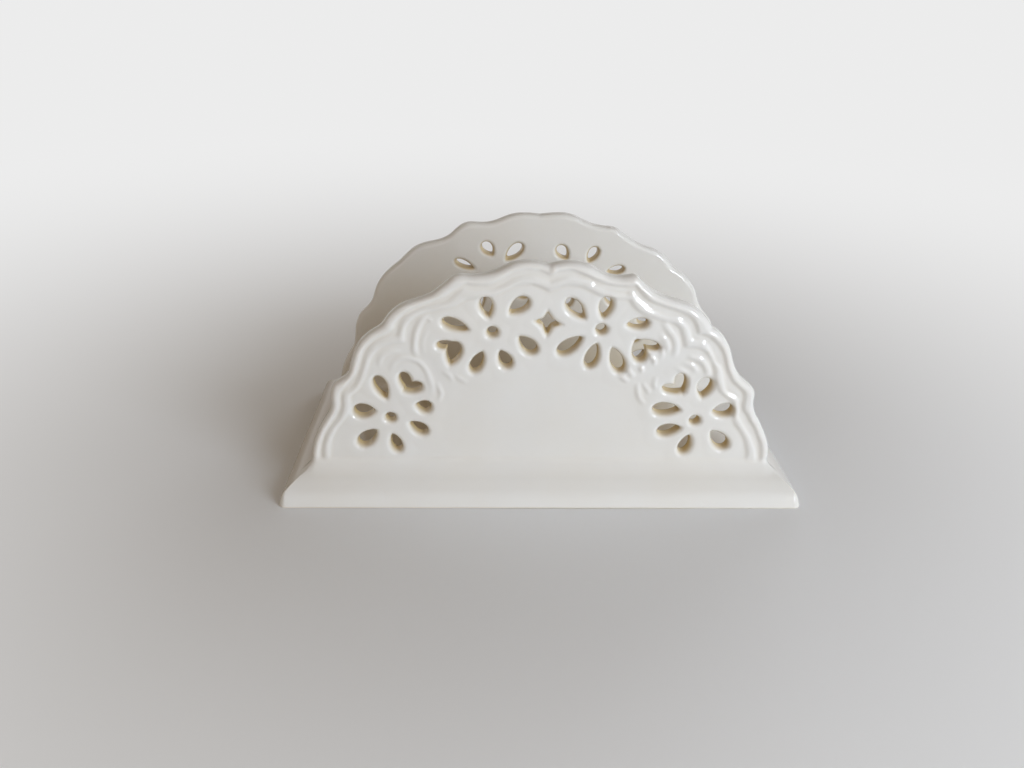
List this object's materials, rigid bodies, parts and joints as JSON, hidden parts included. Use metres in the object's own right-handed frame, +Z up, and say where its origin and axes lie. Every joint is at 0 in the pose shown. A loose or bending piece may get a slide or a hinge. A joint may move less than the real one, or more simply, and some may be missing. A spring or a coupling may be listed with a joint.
{
  "type": "napkin holder",
  "caption": "Upright napkin holder in white glazed earthenware: scalloped, pierced panels with a moulded rim stand on a low hollow base, with an open slot between them for napkins.",
  "frame": {"origin": "on the table, under the middle of the base", "axes": "+X along the base, +Y from the front panel to the rear panel, +Z up"},
  "size_m": [0.18, 0.0854, 0.084],
  "materials": {
    "glazed_earthenware": "glossy white glaze, slightly pooled in the hollows, over pale earthenware"
  },
  "bodies": {
    "root": {"base": "glazed_earthenware", "front_panel": "glazed_earthenware", "rear_panel": "glazed_earthenware"}
  },
  "joints": []
}
